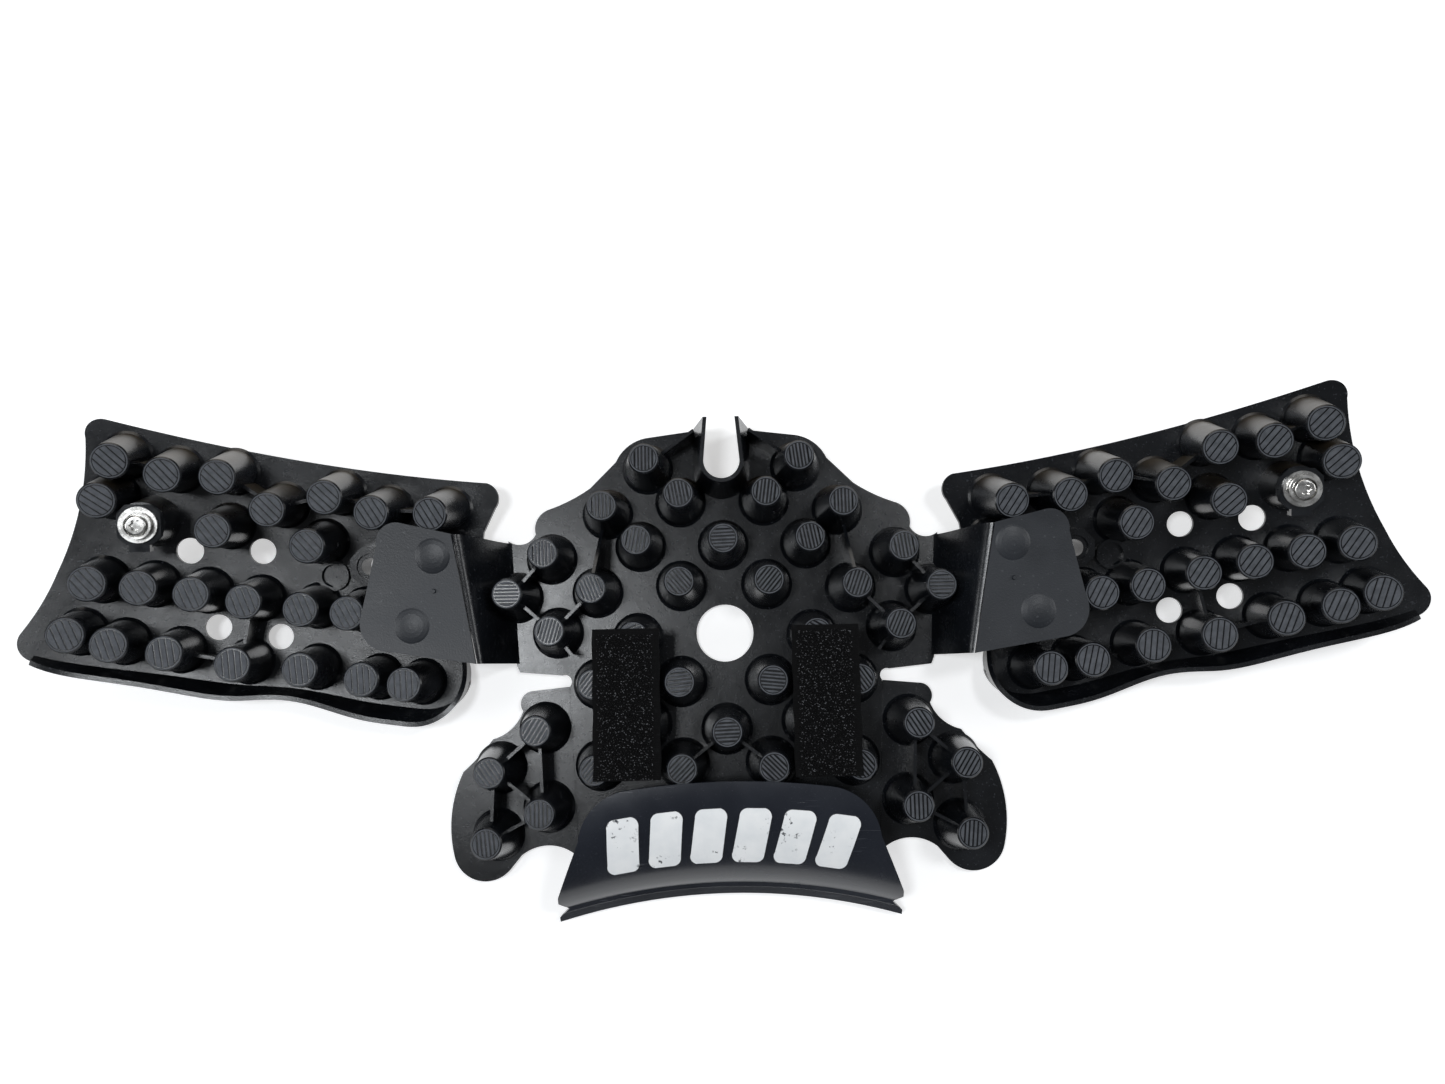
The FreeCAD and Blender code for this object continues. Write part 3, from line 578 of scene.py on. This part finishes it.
def hinge_web(side, material):
    """Thin web of the sheet's material laid along a lobe's hinge line."""
    mirror = Vector((-1 if side == "left" else 1, 1, 1))
    brow = HINGE_BROW * mirror
    crown = HINGE_CROWN * mirror
    along = crown - brow
    up = Vector((0, 0, 1))
    rightward = along.cross(up).normalized()
    middle = (brow + crown) / 2
    web = bmesh.new()
    bmesh.ops.create_grid(web, x_segments=6, y_segments=12, size=0.5)
    for vert in web.verts:
        across, length = vert.co.x * 2, vert.co.y
        vert.co = middle + rightward * across * WEB_HALF_WIDTH + along * length + up * WEB_TOP
    bmesh.ops.solidify(web, geom=web.faces[:], thickness=WEB_TOP - WEB_BOTTOM)
    bmesh.ops.recalc_face_normals(web, faces=web.faces)
    piece = new_piece(side + "_hinge_web", web, material)
    outward = rightward * mirror.x * WEB_HALF_WIDTH
    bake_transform(piece)


# ------------------------------------------------------------------ assemble
def dress(node_name, material):
    """Give a CAD node its finish."""
    mesh = NODES[node_name].data
    mesh.materials.clear()
    mesh.materials.append(material)


def dress_frame(tpu, tab, gloss, white, steel, clip):
    """Give every CAD node the finish of its part."""
    for node_name in NODES:
        dress(node_name, tpu)
    dress("brow_plate", gloss)
    dress("brow_marks", white)
    for side in SIDES:
        dress(side + "_tab", tab)
        dress(side + "_retainer_clip", clip)
        for part in ("_flange_washer", "_cup_washer", "_screw"):
            dress(side + part, steel)


# --------------------------------------------------------- floor, light, camera
def studio():
    """Pale seamless floor under the liner and soft lights above it."""
    sweep = bmesh.new()
    bmesh.ops.create_grid(sweep, x_segments=1, y_segments=1, size=3.0)
    mesh = bpy.data.meshes.new("floor")
    sweep.to_mesh(mesh)
    sweep.free()
    floor = bpy.data.objects.new("floor", mesh)
    floor.location.z = -0.6 * MM
    bpy.context.scene.collection.objects.link(floor)
    paint = Finish("floor_paint", Roughness=0.9, Specular_IOR_Level=0.1,
                   Emission_Color=(1.0, 1.0, 1.0, 1.0), Emission_Strength=0.48)
    tone = paint.ramp(paint.noise(1.3, detail=1.0), 0.3, 0.7)
    colour = paint.mix(tone, (0.80, 0.80, 0.80), (0.84, 0.84, 0.84))
    mesh.materials.append(paint.drive(Base_Color=colour).material)

    world = bpy.data.worlds.new("soft_room")
    world.use_nodes = True
    backdrop = world.node_tree.nodes["Background"].inputs
    backdrop["Color"].default_value = (0.93, 0.96, 1.0, 1)
    backdrop["Strength"].default_value = 0.17
    bpy.context.scene.world = world
    bpy.context.scene.view_settings.view_transform = "Standard"

    lamps = [
        ("window_light", (-0.27, 0.02, 0.95), 0.14, 0.18, 3.0, (0.94, 0.97, 1.0)),
        ("room_light", (0.40, 0.24, 0.90), 0.12, 0.16, 1.9, (0.96, 0.98, 1.0)),
        ("crown_fill", (-0.15, 1.10, 0.55), 0.9, 0.4, 2.9, (1.0, 0.96, 0.90)),
        ("left_fill", (-1.10, -0.10, 0.60), 0.5, 0.5, 4.0, (0.95, 0.975, 1.0)),
        ("right_fill", (1.15, 0.10, 0.55), 0.5, 0.4, 3.0, (0.97, 0.985, 1.0)),
    ]
    for name, place, width, height, power, colour in lamps:
        light = bpy.data.lights.new(name, "AREA")
        light.shape = "RECTANGLE"
        light.size = width
        light.size_y = height
        light.energy = power
        light.color = colour
        lamp = bpy.data.objects.new(name, light)
        lamp.location = place
        lamp.rotation_euler = (-Vector(place)).to_track_quat("-Z", "Y").to_euler()
        bpy.context.scene.collection.objects.link(lamp)


def camera():
    """Almost straight above, leaning slightly towards the crown."""
    lens = bpy.data.cameras.new("camera")
    lens.sensor_width = 36.0
    lens.lens = 28.03
    lens.sensor_fit = "HORIZONTAL"
    lens.clip_start = 0.01
    eye = bpy.data.objects.new("camera", lens)
    eye.location = (-0.0013, -0.0138, 0.450)
    eye.rotation_euler = (math.radians(6.39), 0.0, -0.022)
    bpy.context.scene.collection.objects.link(eye)
    bpy.context.scene.camera = eye


top_tpu = post_top_tpu()
sheet_tpu = moulded_tpu()
dress_frame(sheet_tpu, tab_tpu(), brow_gloss(), worn_white(), bright_stainless(),
            clip_gloss())

ridge_caps("panel_post_ridges", "center", "center_panel", PANEL_FLAT, 7, PANEL_GROOVE,
           centre_heading, top_tpu)
for side in SIDES:
    lobe, wing = side + "_lobe", side + "_wing"
    ridge_caps(lobe + "_post_ridges", lobe, lobe, PANEL_FLAT, 6, PANEL_GROOVE,
               centre_heading, top_tpu)
    ridge_caps(wing + "_post_ridges", wing, wing, WING_FLAT, 5, WING_GROOVE,
               wing_heading, top_tpu, covers=[side + "_tab"])

for side in SIDES:
    hinge_web(side, sheet_tpu)

weave = tape_weave()
nylon = hook_nylon()
hook_strip("left", 11, weave, nylon)
hook_strip("right", 23, weave, nylon)

studio()
camera()
